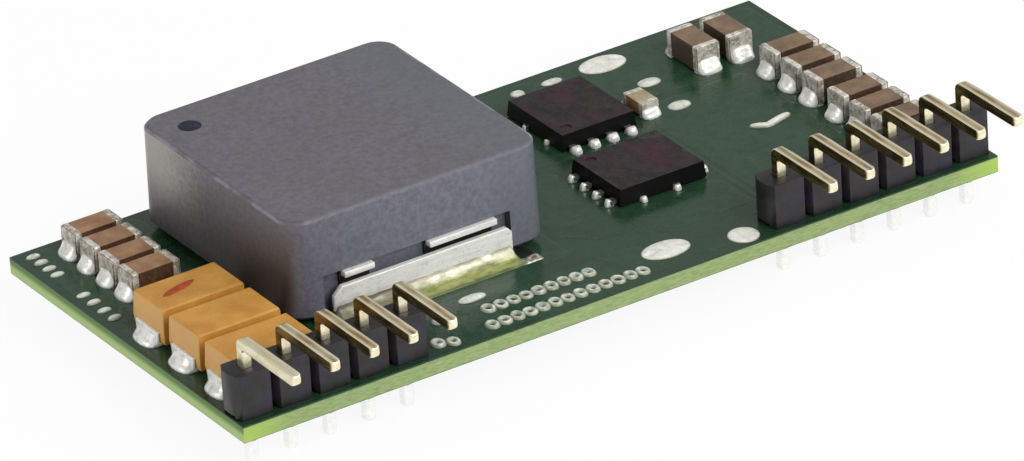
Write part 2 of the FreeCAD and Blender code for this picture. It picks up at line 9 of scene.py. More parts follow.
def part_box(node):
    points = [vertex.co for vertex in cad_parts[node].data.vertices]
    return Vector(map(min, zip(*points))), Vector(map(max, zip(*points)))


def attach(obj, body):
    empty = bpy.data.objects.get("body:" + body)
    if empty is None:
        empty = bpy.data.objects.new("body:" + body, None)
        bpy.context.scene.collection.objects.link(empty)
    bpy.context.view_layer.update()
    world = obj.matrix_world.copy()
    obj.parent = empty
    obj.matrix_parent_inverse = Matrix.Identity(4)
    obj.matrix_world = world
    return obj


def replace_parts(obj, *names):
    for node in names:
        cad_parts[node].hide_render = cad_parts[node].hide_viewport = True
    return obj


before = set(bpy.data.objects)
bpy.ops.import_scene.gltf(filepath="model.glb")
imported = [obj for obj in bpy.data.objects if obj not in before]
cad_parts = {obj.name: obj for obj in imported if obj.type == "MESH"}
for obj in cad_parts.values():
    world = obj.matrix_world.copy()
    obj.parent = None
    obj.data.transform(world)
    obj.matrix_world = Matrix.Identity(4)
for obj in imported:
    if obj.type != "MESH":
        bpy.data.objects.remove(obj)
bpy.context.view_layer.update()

# Lengths below are millimetres; MM turns them into the scene's metres.
MM = 0.001
BODY = "root"
PHOTO_WIDTH = 1024

# The board's own corner: x from its left edge, y from its front edge, z from its top face
board_low, board_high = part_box("circuit_board")
BOARD_TOP = board_high.z / MM
BOARD_BASE = board_low.z / MM
BOARD_LENGTH = (board_high.x - board_low.x) / MM

# The inductor's front terminal along x: its middle and half its length
terminal_low, terminal_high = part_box("inductor_front_terminal")
TERMINAL_MIDDLE = (terminal_low.x + terminal_high.x) / 2 / MM
TERMINAL_HALF = (terminal_high.x - terminal_low.x) / 2 / MM


def on_board(x, y, z=0.0):
    """A place given on the board, in the part's own millimetres."""
    return Vector((board_low.x / MM + x, board_low.y / MM + y, BOARD_TOP + z))


# Mesh helpers

def make_piece(name, bm, material, smooth=True):
    """A finished mesh object from millimetre geometry, riding on the part's body."""
    bmesh.ops.scale(bm, vec=(MM, MM, MM), verts=bm.verts)
    bmesh.ops.recalc_face_normals(bm, faces=bm.faces)
    mesh = bpy.data.meshes.new(name)
    bm.to_mesh(mesh)
    bm.free()
    for face in mesh.polygons:
        face.use_smooth = smooth
    piece = bpy.data.objects.new(name, mesh)
    bpy.context.scene.collection.objects.link(piece)
    mesh.materials.append(material)
    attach(piece, BODY)
    return piece


def soften(piece, width, segments=2, angle=30.0):
    """Rounds a piece's sharp edges by a bevel and shades its flats flat."""
    weld = piece.modifiers.new("weld", "WELD")
    weld.merge_threshold = 1e-7
    bevel = piece.modifiers.new("bevel", "BEVEL")
    bevel.width = width * MM
    bevel.segments = segments
    bevel.limit_method = "ANGLE"
    bevel.angle_limit = math.radians(angle)
    bevel.use_clamp_overlap = True
    normals = piece.modifiers.new("normals", "WEIGHTED_NORMAL")
    normals.weight = 100
    normals.keep_sharp = False
    for face in piece.data.polygons:
        face.use_smooth = True


def dress(names, material, bevel=0.0, segments=2):
    """Gives CAD nodes a material and, where asked, rounded edges."""
    for name in names:
        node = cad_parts[name]
        node.data.materials.clear()
        node.data.materials.append(material)
        if bevel:
            soften(node, bevel, segments)


def nodes_like(*starts):
    return [name for name in sorted(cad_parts) if name.startswith(starts)]


def islands(node):
    """The separate solids of a CAD node, each as a list of its corners in millimetres."""
    bm = bmesh.new()
    bm.from_mesh(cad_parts[node].data)
    bmesh.ops.remove_doubles(bm, verts=bm.verts, dist=1e-7)
    left = set(bm.verts)
    found = []
    while left:
        queue = [left.pop()]
        group = []
        while queue:
            vert = queue.pop()
            group.append(vert.co / MM)
            for edge in vert.link_edges:
                other = edge.other_vert(vert)
                if other in left:
                    left.remove(other)
                    queue.append(other)
        found.append(group)
    bm.free()
    return sorted(found, key=lambda g: (round(min(p.x for p in g), 2), round(min(p.y for p in g), 2)))


def span(points):
    """Lowest and highest corner of some points."""
    low = Vector([min(p[i] for p in points) for i in range(3)])
    high = Vector([max(p[i] for p in points) for i in range(3)])
    return low, high


def skin(bm, rows, closed=False):
    """Faces between successive rows of points; a closed row joins its own ends."""
    grid = [[bm.verts.new(p) for p in row] for row in rows]
    for lower, upper in zip(grid, grid[1:]):
        count = len(lower)
        for i in range(count if closed else count - 1):
            j = (i + 1) % count
            bm.faces.new((lower[i], lower[j], upper[j], upper[i]))
    return grid


def cap(bm, verts):
    bm.faces.new(verts)


def close_with_tip(bm, ring, place):
    """Triangles from a ring of vertices to one tip."""
    tip = bm.verts.new(place)
    for i in range(len(ring)):
        bm.faces.new((ring[i], ring[(i + 1) % len(ring)], tip))


def cap_outline(bm, grid):
    """One face over the outer loop of an open grid of vertices."""
    cap(bm, grid[0] + [row[-1] for row in grid[1:]] + grid[-1][-2::-1] + [row[0] for row in grid[-2:0:-1]])


# Materials: each is a node tree over the part's own coordinates, in millimetres

class Shader:
    """A Principled material with short calls for the nodes used here."""

    def __init__(self, name, roughness=0.5, metallic=0.0, specular=0.5, coat=0.0, coat_roughness=0.1):
        self.material = bpy.data.materials.new(name)
        self.material.use_nodes = True
        self.tree = self.material.node_tree
        self.surface = self.tree.nodes["Principled BSDF"]
        self.surface.inputs["Roughness"].default_value = roughness
        self.surface.inputs["Metallic"].default_value = metallic
        self.surface.inputs["Specular IOR Level"].default_value = specular
        self.surface.inputs["Coat Weight"].default_value = coat
        self.surface.inputs["Coat Roughness"].default_value = coat_roughness
        place = self.tree.nodes.new("ShaderNodeTexCoord")
        self.normal = place.outputs["Normal"]
        scale = self.tree.nodes.new("ShaderNodeVectorMath")
        scale.operation = "SCALE"
        scale.inputs["Scale"].default_value = 1 / MM
        self.tree.links.new(place.outputs["Object"], scale.inputs[0])
        self.place = scale.outputs["Vector"]
        split = self.tree.nodes.new("ShaderNodeSeparateXYZ")
        self.tree.links.new(self.place, split.inputs[0])
        self.axes = split.outputs

    def link(self, value, socket):
        """Sets a socket from another socket, a number or a colour."""
        if isinstance(value, bpy.types.NodeSocket):
            self.tree.links.new(value, socket)
        elif isinstance(value, tuple) and len(value) == 3 and socket.type == "RGBA":
            socket.default_value = (*value, 1.0)
        else:
            socket.default_value = value

    def noise(self, scale, detail=4.0, roughness=0.55, stretch=None, distortion=0.0):
        """Fractal noise about 0.5; stretch scales the pattern along each axis."""
        node = self.tree.nodes.new("ShaderNodeTexNoise")
        node.inputs["Scale"].default_value = scale
        node.inputs["Detail"].default_value = detail
        node.inputs["Roughness"].default_value = roughness
        node.inputs["Distortion"].default_value = distortion
        self.tree.links.new(self.stretched(stretch), node.inputs["Vector"])
        return node.outputs["Fac"]

    def stretched(self, stretch):
        if stretch is None:
            return self.place
        node = self.tree.nodes.new("ShaderNodeVectorMath")
        node.operation = "MULTIPLY"
        node.inputs[1].default_value = stretch
        self.tree.links.new(self.place, node.inputs[0])
        return node.outputs["Vector"]

    def math(self, operation, a, b=0.0):
        node = self.tree.nodes.new("ShaderNodeMath")
        node.operation = operation
        self.link(a, node.inputs[0])
        self.link(b, node.inputs[1])
        return node.outputs[0]

    def remap(self, value, low, high, to_low=0.0, to_high=1.0, smooth=True):
        node = self.tree.nodes.new("ShaderNodeMapRange")
        node.interpolation_type = "SMOOTHSTEP" if smooth else "LINEAR"
        self.link(value, node.inputs["Value"])
        self.link(low, node.inputs["From Min"])
        self.link(high, node.inputs["From Max"])
        self.link(to_low, node.inputs["To Min"])
        self.link(to_high, node.inputs["To Max"])
        return node.outputs["Result"]

    def mix(self, amount, a, b):
        node = self.tree.nodes.new("ShaderNodeMix")
        node.data_type = "RGBA"
        self.link(amount, node.inputs[0])
        self.link(a, node.inputs[6])
        self.link(b, node.inputs[7])
        return node.outputs[2]

    def within(self, axis, low, high, soft=0.02):
        """1 where one coordinate is between two values, 0 outside."""
        rise = self.remap(self.axes[axis], low - soft, low + soft)
        fall = self.remap(self.axes[axis], high - soft, high + soft, 1.0, 0.0)
        return self.math("MULTIPLY", rise, fall)

    def facing(self, axis, sign=1, whole=0.95):
        """1 on faces that look along an axis (with sign -1 against it), 0 on the others; whole is
        the share of the normal from which a face counts in full."""
        split = self.tree.nodes.new("ShaderNodeSeparateXYZ")
        self.tree.links.new(self.normal, split.inputs[0])
        return self.remap(split.outputs[axis], (whole - 0.35) * sign, whole * sign)

    def bump(self, height, strength=0.3, distance=0.02, under=None):
        """Bump of a height in millimetres."""
        node = self.tree.nodes.new("ShaderNodeBump")
        node.inputs["Strength"].default_value = strength
        node.inputs["Distance"].default_value = distance * MM
        self.link(height, node.inputs["Height"])
        if under is not None:
            self.link(under, node.inputs["Normal"])
        return node.outputs["Normal"]

    def finish(self, colour=None, roughness=None, normal=None, metallic=None):
        for name, value in (("Base Color", colour), ("Roughness", roughness), ("Normal", normal),
                            ("Metallic", metallic)):
            if value is not None:
                self.link(value, self.surface.inputs[name])
        return self.material


def rgb(red, green, blue):
    """Linear colour from 0-255 screen values."""
    def linear(value):
        value /= 255
        return value / 12.92 if value <= 0.04045 else ((value + 0.055) / 1.055) ** 2.4
    return tuple(linear(v) for v in (red, green, blue))


def board_material():
    """Green solder mask on both faces; between them the cut laminate, with painted light tinting it
    lime near the corners and painted shade darkening the upper half of the board's two ends."""
    s = Shader("board_mask_and_laminate", specular=0.36)
    broad = s.noise(0.22, 3.0)
    blotch = s.noise(1.4, 5.0, 0.65)
    speckle = s.noise(9.0, 3.0, 0.7)
    mask = s.mix(s.remap(broad, 0.35, 0.65), rgb(20, 50, 32), rgb(32, 62, 40))
    mask = s.mix(s.remap(blotch, 0.3, 0.75, 0.0, 0.5), mask, rgb(42, 72, 48))
    mask = s.mix(s.remap(speckle, 0.45, 0.75, 0.0, 0.3), mask, rgb(62, 84, 62))
    fibre = s.noise(2.2, 4.0, 0.6, stretch=(1.0, 1.0, 9.0))
    cut = s.mix(s.remap(fibre, 0.3, 0.7), rgb(122, 144, 90), rgb(156, 174, 120))
    half_length = BOARD_LENGTH / 2
    along = s.math("ABSOLUTE", s.axes[0])
    # Painted light: the cut laminate turns lime towards the board's ends, as light shining through it.
    corner = s.remap(along, half_length - 4.0, half_length)
    cut = s.mix(s.math("MULTIPLY", corner, 0.75), cut, rgb(166, 198, 84))
    # Painted shade: the two end faces are dark along their upper half and lighter below.
    end_face_shade = s.remap(along, half_length - 0.02, half_length - 0.005)
    height = s.remap(s.axes[2], BOARD_BASE + 0.35, BOARD_TOP - 0.25)
    cut = s.mix(end_face_shade, cut, s.mix(height, rgb(174, 198, 130), rgb(94, 128, 64)))
    laminate = s.within(2, BOARD_BASE + 0.04, BOARD_TOP - 0.1, 0.03)
    colour = s.mix(laminate, mask, cut)
    gloss = s.mix(laminate, s.remap(blotch, 0.3, 0.7, 0.14, 0.26), (0.6, 0.6, 0.6))
    waves = s.bump(s.noise(0.9, 3.0), 0.25, 0.06)
    grain = s.bump(s.noise(14.0, 3.0, 0.6), 0.12, 0.02, waves)
    return s.finish(colour, gloss, grain)


def relief_material():
    """Mask over copper: a shade lighter than the mask over bare laminate."""
    s = Shader("mask_over_copper", specular=0.36)
    blotch = s.noise(1.4, 5.0, 0.65)
    speckle = s.noise(9.0, 3.0, 0.7)
    colour = s.mix(s.remap(blotch, 0.3, 0.7), rgb(26, 57, 37), rgb(40, 70, 47))
    colour = s.mix(s.remap(speckle, 0.45, 0.75, 0.0, 0.3), colour, rgb(64, 88, 65))
    waves = s.bump(s.noise(0.9, 3.0), 0.25, 0.06)
    grain = s.bump(s.noise(14.0, 3.0, 0.6), 0.12, 0.02, waves)
    return s.finish(colour, s.remap(blotch, 0.3, 0.7, 0.12, 0.24), grain)


def solder_material():
    """Bright solder with a few duller patches."""
    s = Shader("solder", metallic=0.35)
    patches = s.noise(2.2, 3.0, 0.5)
    colour = s.mix(s.remap(patches, 0.35, 0.6), rgb(222, 221, 212), rgb(254, 254, 251))
    rough = s.remap(patches, 0.3, 0.7, 0.36, 0.18)
    normal = s.bump(s.noise(3.0, 2.0), 0.35, 0.06)
    return s.finish(colour, rough, normal)


def pad_material(name, dark, light, level=0.95):
    """Dull levelled tin on bare pads and rings: near-white flecks painted as glints, a few tan stains,
    and painted shade where the surface leans, from an upward share of its normal below level."""
    s = Shader(name, metallic=0.15)
    patches = s.noise(2.6, 4.0, 0.65)
    glint_spots = s.noise(9.0, 3.0, 0.6)
    stains = s.noise(1.2, 3.0, 0.6)
    colour = s.mix(s.remap(patches, 0.3, 0.7), dark, light)
    colour = s.mix(s.remap(stains, 0.55, 0.75, 0.0, 0.45), colour, rgb(176, 164, 136))
    # Painted glints: near-white flecks.
    colour = s.mix(s.remap(glint_spots, 0.55, 0.75, 0.0, 0.6), colour, rgb(254, 254, 250))
    # Painted shade: darker where the surface leans away from straight up.
    colour = s.mix(s.facing(2, 1, level), rgb(156, 160, 142), colour)
    rough = s.remap(glint_spots, 0.4, 0.7, 0.5, 0.28)
    return s.finish(colour, rough, s.bump(s.noise(5.0, 3.0), 0.5, 0.06))


def terminal_solder_material():
    """Solder along the inductor's terminals: a low band painted yellow-green as the board's reflection,
    dark green at its very foot as the board's painted reflection, painted darker behind the left pins
    as the header strip's reflection, and bare tin where the pad runs on past the terminal's ends,
    with painted shadow where it runs in under the body."""
    s = Shader("terminal_solder_painted_reflection", metallic=0.4)
    patches = s.noise(1.3, 5.0, 0.65, stretch=(0.6, 1.6, 1.6))
    height = s.remap(s.math("ADD", s.axes[2], s.math("MULTIPLY", patches, 0.3)),
                     BOARD_TOP + 0.45, BOARD_TOP + 0.85)
    # Painted reflection: the low band is yellow-green, as the board shows in it.
    board_reflection = s.mix(s.remap(patches, 0.35, 0.65), rgb(122, 132, 72), rgb(180, 182, 116))
    clean = s.mix(s.remap(patches, 0.3, 0.7), rgb(176, 174, 148), rgb(228, 225, 204))
    colour = s.mix(height, board_reflection, clean)
    # Painted reflection: dark green of the board at the bank's very foot.
    film = s.remap(s.axes[2], BOARD_TOP + 0.06, BOARD_TOP + 0.16, 0.75, 0.0)
    colour = s.mix(film, colour, rgb(62, 84, 60))
    beyond = s.math("ABSOLUTE", s.math("SUBTRACT", s.axes[0], TERMINAL_MIDDLE))
    # Painted reflection: darker towards the left pins, as the dark header strip shows in it.
    darker_tin = s.remap(s.axes[0], TERMINAL_MIDDLE - 2.5, TERMINAL_MIDDLE + 0.5, 0.85, 0.0)
    colour = s.mix(darker_tin, colour, s.mix(patches, rgb(60, 54, 40), rgb(122, 116, 96)))
    bare = s.mix(s.remap(s.noise(4.0, 3.0), 0.35, 0.65), rgb(112, 110, 96), rgb(226, 222, 206))
    bank_low, bank_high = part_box("inductor_solder")
    bank_middle = (bank_low.y + bank_high.y) / 2 / MM
    away = s.math("ABSOLUTE", s.math("SUBTRACT", s.axes[1], bank_middle))
    toe = (bank_high.y - bank_low.y) / 2 / MM
    # Painted shadow: the pad past the terminal's ends is dark where it runs in under the body.
    bare = s.mix(s.remap(away, toe - 0.7, toe - 0.5), rgb(34, 48, 36), bare)
    colour = s.mix(s.remap(beyond, TERMINAL_HALF + 0.05, TERMINAL_HALF + 0.3), colour, bare)
    rough = s.remap(patches, 0.3, 0.7, 0.5, 0.32)
    normal = s.bump(s.noise(3.0, 4.0, 0.6), 0.45, 0.07)
    return s.finish(colour, rough, normal)


def plated_material():
    """Tin-plated chip ends: satin, with tan stains in places and near-white flecks painted as glints."""
    s = Shader("plated_end", metallic=0.3)
    patches = s.noise(1.9, 4.0, 0.65)
    glint_spots = s.noise(5.0, 3.0, 0.6)
    colour = s.mix(s.remap(patches, 0.35, 0.65), rgb(156, 147, 132), rgb(232, 227, 215))
    # Painted glints: near-white flecks.
    colour = s.mix(s.remap(glint_spots, 0.52, 0.68, 0.0, 0.8), colour, rgb(252, 250, 244))
    rough = s.remap(patches, 0.3, 0.7, 0.5, 0.3)
    normal = s.bump(s.noise(3.0, 3.0, 0.5), 0.35, 0.06)
    return s.finish(colour, rough, normal)


def strip_metal_material(name, spread=None):
    """Tinned strip with a faint rolled grain, darker stains and specks. With spread, the middle line
    and a face plate's distance from it, the plate is painted darker at its lower left as a reflection
    of the header strip, and what lies deeper in is painted dark as shade."""
    s = Shader(name, metallic=0.25)
    rolled = s.noise(1.6, 4.0, 0.6, stretch=(0.5, 3.0, 4.0))
    stains = s.noise(0.9, 4.0, 0.65)
    specks = s.noise(6.0, 3.0, 0.7)
    colour = s.mix(s.remap(rolled, 0.3, 0.7), rgb(234, 233, 227), rgb(253, 252, 248))
    colour = s.mix(s.remap(stains, 0.54, 0.78, 0.0, 0.5), colour, rgb(182, 182, 164))
    colour = s.mix(s.remap(specks, 0.56, 0.72, 0.0, 0.5), colour, rgb(150, 146, 134))
    if spread is not None:
        middle, distance = spread
        # Painted reflection of the dark header strip: the plate's lower left is darker.
        left = s.remap(s.axes[0], TERMINAL_MIDDLE - 4.0, TERMINAL_MIDDLE, 0.8, 0.0)
        lower = s.remap(s.math("ADD", s.axes[2], stains), BOARD_TOP + 0.9, BOARD_TOP + 1.9, 1.0, 0.0)
        colour = s.mix(s.math("MULTIPLY", left, lower), colour, rgb(104, 98, 84))
        # Painted shade: what lies deeper in, behind the plate, is dark.
        away = s.math("ABSOLUTE", s.math("SUBTRACT", s.axes[1], middle))
        colour = s.mix(s.remap(away, distance - 0.6, distance - 0.45, 1.0, 0.0), colour, rgb(40, 38, 38))
    rough = s.remap(rolled, 0.3, 0.7, 0.5, 0.32)
    return s.finish(colour, rough, s.bump(rolled, 0.15, 0.02))


def dull_lead_material():
    """Oxidised leads of the power packages."""
    s = Shader("dull_lead", metallic=0.5)
    patches = s.noise(3.0, 4.0, 0.6)
    colour = s.mix(s.remap(patches, 0.3, 0.7), rgb(70, 68, 64), rgb(126, 122, 114))
    return s.finish(colour, s.remap(patches, 0.3, 0.7, 0.55, 0.4), s.bump(patches, 0.2, 0.02))


def pin_material():
    """Pale gold pins, tinned below the board: a darker reflection painted along the middle of the top
    and painted shade on the side faces, both fainter on the first pin."""
    s = Shader("square_pin", metallic=0.85)
    lines = s.noise(1.4, 2.0, 0.5, stretch=(2.0, 0.4, 2.0))
    gold = s.mix(s.remap(lines, 0.3, 0.7), rgb(240, 228, 186), rgb(254, 248, 222))
    low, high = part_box("left_pin_1")
    half_pitch = (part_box("left_pin_2")[0].x - low.x) / 2 / MM
    from_axis = s.math("SUBTRACT", s.axes[0], (low.x + high.x) / 2 / MM)
    fold = s.tree.nodes.new("ShaderNodeMath")
    fold.operation = "PINGPONG"
    fold.inputs[1].default_value = half_pitch
    s.tree.links.new(from_axis, fold.inputs[0])
    later = s.remap(from_axis, half_pitch * 0.5, half_pitch, 0.25, 1.0)
    # Painted reflection: a darker tan line along the middle of each pin's top.
    top_reflection = s.mix(s.remap(lines, 0.35, 0.65), rgb(142, 104, 62), rgb(206, 180, 134))
    band = s.math("MULTIPLY", s.remap(fold.outputs[0], 0.06, 0.22, 0.85, 0.0), s.facing(2))
    gold = s.mix(s.math("MULTIPLY", band, later), gold, top_reflection)
    # Painted shade: dark side faces.
    side = s.math("MAXIMUM", s.facing(0), s.facing(0, -1))
    shaded = s.mix(s.remap(lines, 0.35, 0.65), rgb(72, 60, 24), rgb(134, 116, 68))
    gold = s.mix(s.math("MULTIPLY", side, later), gold, shaded)
    tin = s.mix(s.remap(lines, 0.3, 0.7), rgb(248, 248, 246), rgb(254, 254, 253))
    below = s.remap(s.axes[2], BOARD_BASE - 0.1, BOARD_BASE + 0.3, 1.0, 0.0)
    rough = s.remap(lines, 0.3, 0.7, 0.34, 0.24)
    return s.finish(s.mix(below, gold, tin), rough, s.bump(lines, 0.05, 0.01))


def strip_material():
    """Black moulded insulator with a faint violet cast and fine texture."""
    s = Shader("header_insulator", specular=0.42)
    broad = s.noise(1.1, 4.0, 0.6)
    cast = s.noise(0.8, 4.0, 0.65, stretch=(1.0, 1.0, 0.6))
    colour = s.mix(s.remap(broad, 0.3, 0.7), rgb(28, 25, 25), rgb(44, 41, 44))
    colour = s.mix(s.remap(cast, 0.5, 0.68, 0.0, 0.7), colour, rgb(44, 40, 68))
    rough = s.remap(broad, 0.3, 0.7, 0.36, 0.5)
    return s.finish(colour, rough, s.bump(s.noise(16.0, 3.0), 0.25, 0.02))


def inductor_material():
    """Pressed iron powder under a grey-violet coat: grain and stains; painted shade darkening the left
    face at its foot, painted light paling it at its far end, painted light making the front brighter
    and cooler, painted shade on the bevel under the top edge, and edges scuffed near the corners
    with painted highlights."""
    s = Shader("inductor_moulding", specular=0.5)
    grain = s.noise(3.0, 4.0, 0.7)
    fine = s.noise(11.0, 3.0, 0.7)
    broad = s.noise(0.28, 3.0, 0.5)
    colour = s.mix(s.remap(grain, 0.3, 0.7), rgb(88, 86, 93), rgb(106, 104, 112))
    colour = s.mix(s.remap(fine, 0.55, 0.8, 0.0, 0.3), colour, rgb(130, 128, 133))
    colour = s.mix(s.remap(fine, 0.2, 0.42, 0.3, 0.0), colour, rgb(72, 69, 74))
    colour = s.mix(s.remap(broad, 0.4, 0.7, 0.0, 0.35), colour, rgb(98, 93, 94))
    low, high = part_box("inductor_body")
    left, right = low.x / MM, high.x / MM
    base, top = low.z / MM, high.z / MM
    front, back = low.y / MM, high.y / MM
    to_left = s.facing(0, -1)
    # Painted shade: the left face is darkened towards its foot, most at its near end.
    foot = s.math("MULTIPLY", to_left, s.remap(s.axes[2], base + 1.5, top + 0.5, 1.0, 0.0))
    nearer = s.remap(s.axes[1], front, back - 4.0, 1.0, 0.5)
    colour = s.mix(s.math("MULTIPLY", foot, nearer), colour, rgb(56, 46, 42))
    # Painted light: the left face pales towards its far end, above its foot.
    far = s.remap(s.math("ADD", s.axes[1], s.math("MULTIPLY", grain, 4.0)), back - 6.0, back)
    pale = s.math("MULTIPLY", s.math("MULTIPLY", to_left, far), s.remap(s.axes[2], base + 1.0, top - 1.5))
    colour = s.mix(pale, colour, rgb(156, 154, 146))
    # Painted light: the front face is brighter and bluer.
    cool = s.mix(s.remap(grain, 0.3, 0.7), rgb(96, 97, 110), rgb(118, 119, 134))
    cooler = s.remap(s.axes[0], left, left + 9.0, 0.35, 0.8)
    colour = s.mix(s.math("MULTIPLY", s.facing(1, -1), cooler), colour, cool)
    slate = s.remap(s.axes[0], right - 6.0, right - 1.0, 0.0, 0.5)
    colour = s.mix(slate, colour, rgb(94, 100, 106))
    # Painted shade: the bevel just under the top edge is darkened so it shows no highlight.
    rim = s.remap(s.axes[2], top - 0.09, top - 0.05)
    rim = s.math("SUBTRACT", rim, s.math("MULTIPLY", rim, s.facing(2)))
    colour = s.mix(s.math("MULTIPLY", rim, 0.6), colour, rgb(66, 66, 72))
    # Scuffed edges near the corners, partly painted highlight.
    crest = s.remap(s.axes[2], top - 0.3, top - 0.12)
    near_left = s.remap(s.axes[0], left + 0.35, left + 0.15, 0.0, 0.5)
    near_right = s.remap(s.axes[0], right - 0.5, right - 0.2)
    scuffs_and_highlights = s.math("MULTIPLY", s.math("MAXIMUM", near_left, near_right), crest)
    patchy = s.remap(s.noise(0.9, 2.0), 0.4, 0.6, 0.0, 0.8)
    colour = s.mix(s.math("MULTIPLY", scuffs_and_highlights, patchy), colour, rgb(166, 160, 172))
    normal = s.bump(grain, 0.2, 0.04)
    normal = s.bump(fine, 0.2, 0.02, normal)
    return s.finish(colour, s.remap(grain, 0.3, 0.7, 0.46, 0.36), normal)


def tantalum_material():
    """Ochre moulded cases, with painted light making the left face paler."""
    s = Shader("tantalum_case", specular=0.4)
    broad = s.noise(0.5, 4.0, 0.55)
    grain = s.noise(7.0, 4.0, 0.65)
    colour = s.mix(s.remap(broad, 0.3, 0.7), rgb(186, 130, 52), rgb(206, 152, 70))
    colour = s.mix(s.remap(grain, 0.5, 0.8, 0.0, 0.4), colour, rgb(222, 176, 106))
    colour = s.mix(s.remap(grain, 0.2, 0.45, 0.35, 0.0), colour, rgb(160, 106, 40))
    # Painted light: the left face is paler.
    colour = s.mix(s.math("MULTIPLY", s.facing(0, -1), 0.5), colour, rgb(226, 182, 116))
    rough = s.remap(broad, 0.3, 0.7, 0.42, 0.55)
    return s.finish(colour, rough, s.bump(grain, 0.2, 0.03))


def ceramic_material(name, dark, light, shaded_sides):
    """A fired block: mottled top, side faces painted in a darker colour as shade."""
    s = Shader(name, specular=0.5)
    broad = s.noise(0.8, 4.0, 0.6)
    grain = s.noise(8.0, 4.0, 0.65)
    colour = s.mix(s.remap(broad, 0.3, 0.7), dark, light)
    colour = s.mix(s.remap(grain, 0.5, 0.8, 0.0, 0.35), colour, rgb(178, 146, 116))
    # Painted shade: the side faces take a darker colour.
    colour = s.mix(s.facing(2), s.mix(s.remap(grain, 0.3, 0.8, 0.0, 0.4), shaded_sides, colour), colour)
    return s.finish(colour, s.remap(grain, 0.3, 0.7, 0.5, 0.36), s.bump(grain, 0.15, 0.02))


def epoxy_material():
    """Moulded epoxy of the power packages: a top with plum and tan patches from wear, side faces
    painted nearly black as shade.
    """
    s = Shader("package_epoxy", specular=0.22)
    broad = s.noise(0.5, 4.0, 0.6)
    streaks = s.noise(1.3, 4.0, 0.7, stretch=(1.0, 0.6, 1.0))
    grain = s.noise(8.0, 4.0, 0.7)
    colour = s.mix(s.remap(streaks, 0.35, 0.65), rgb(28, 25, 25), rgb(48, 42, 42))
    colour = s.mix(s.remap(broad, 0.5, 0.62, 0.0, 0.65), colour, rgb(66, 28, 46))
    colour = s.mix(s.remap(broad, 0.32, 0.42, 0.3, 0.0), colour, rgb(92, 84, 66))
    colour = s.mix(s.remap(grain, 0.5, 0.8, 0.0, 0.35), colour, rgb(78, 72, 72))
    # Painted shade: the side faces are nearly black.
    colour = s.mix(s.facing(2), rgb(8, 8, 7), colour)
    return s.finish(colour, s.remap(grain, 0.3, 0.7, 0.56, 0.42), s.bump(grain, 0.3, 0.02))


def resistor_material():
    """Dark glaze of the chip resistors."""
    s = Shader("resistor_block", specular=0.5)
    grain = s.noise(9.0, 3.0, 0.6)
    colour = s.mix(s.remap(grain, 0.3, 0.7), rgb(34, 34, 38), rgb(52, 52, 56))
    return s.finish(colour, s.remap(grain, 0.3, 0.7, 0.32, 0.22), s.bump(grain, 0.1, 0.01))


def ink_material(name, dark, light):
    """A thin printed mark whose edges and density vary."""
    s = Shader(name, specular=0.3)
    grain = s.noise(6.0, 4.0, 0.7)
    colour = s.mix(s.remap(grain, 0.3, 0.7), dark, light)
    return s.finish(colour, s.remap(grain, 0.3, 0.7, 0.7, 0.5), s.bump(grain, 0.2, 0.01))


# Solder, rings and pads: smooth forms over the plain solids of the frame

draw = random.Random(11)


def feet(node):
    """Each sloped joint of a solder node: face line, outward direction, width, reach and rise."""
    found = []
    for points in islands(node):
        low, high = span(points)
        above = (low.z + high.z) / 2 > (BOARD_TOP + BOARD_BASE) / 2
        base = BOARD_TOP if above else BOARD_BASE
        up = 1 if above else -1
        tallest = max((p.z - base) * up for p in points)
        top = [p for p in points if (p.z - base) * up > tallest - 0.005]
        middle = [p for p in points if 0.1 < (p.z - base) * up < tallest - 0.01]
        if tallest < 0.1 or not middle:
            continue
        spread = [max(p[i] for p in top) - min(p[i] for p in top) for i in (0, 1)]
        axis = 0 if spread[0] < spread[1] else 1
        face = top[0][axis]
        outward = 1 if middle[0][axis] > face else -1
        toe = high[axis] if outward > 0 else low[axis]
        heel = low[axis] if outward > 0 else high[axis]
        across = sorted({round(p[1 - axis], 3) for p in top})
        for start, end in zip(across[::2], across[1::2]):
            found.append({"axis": axis, "face": face, "outward": outward, "start": start, "end": end,
                          "reach": abs(toe - face), "inward": abs(face - heel), "base": base, "up": up,
                          "rise": tallest})
    return found


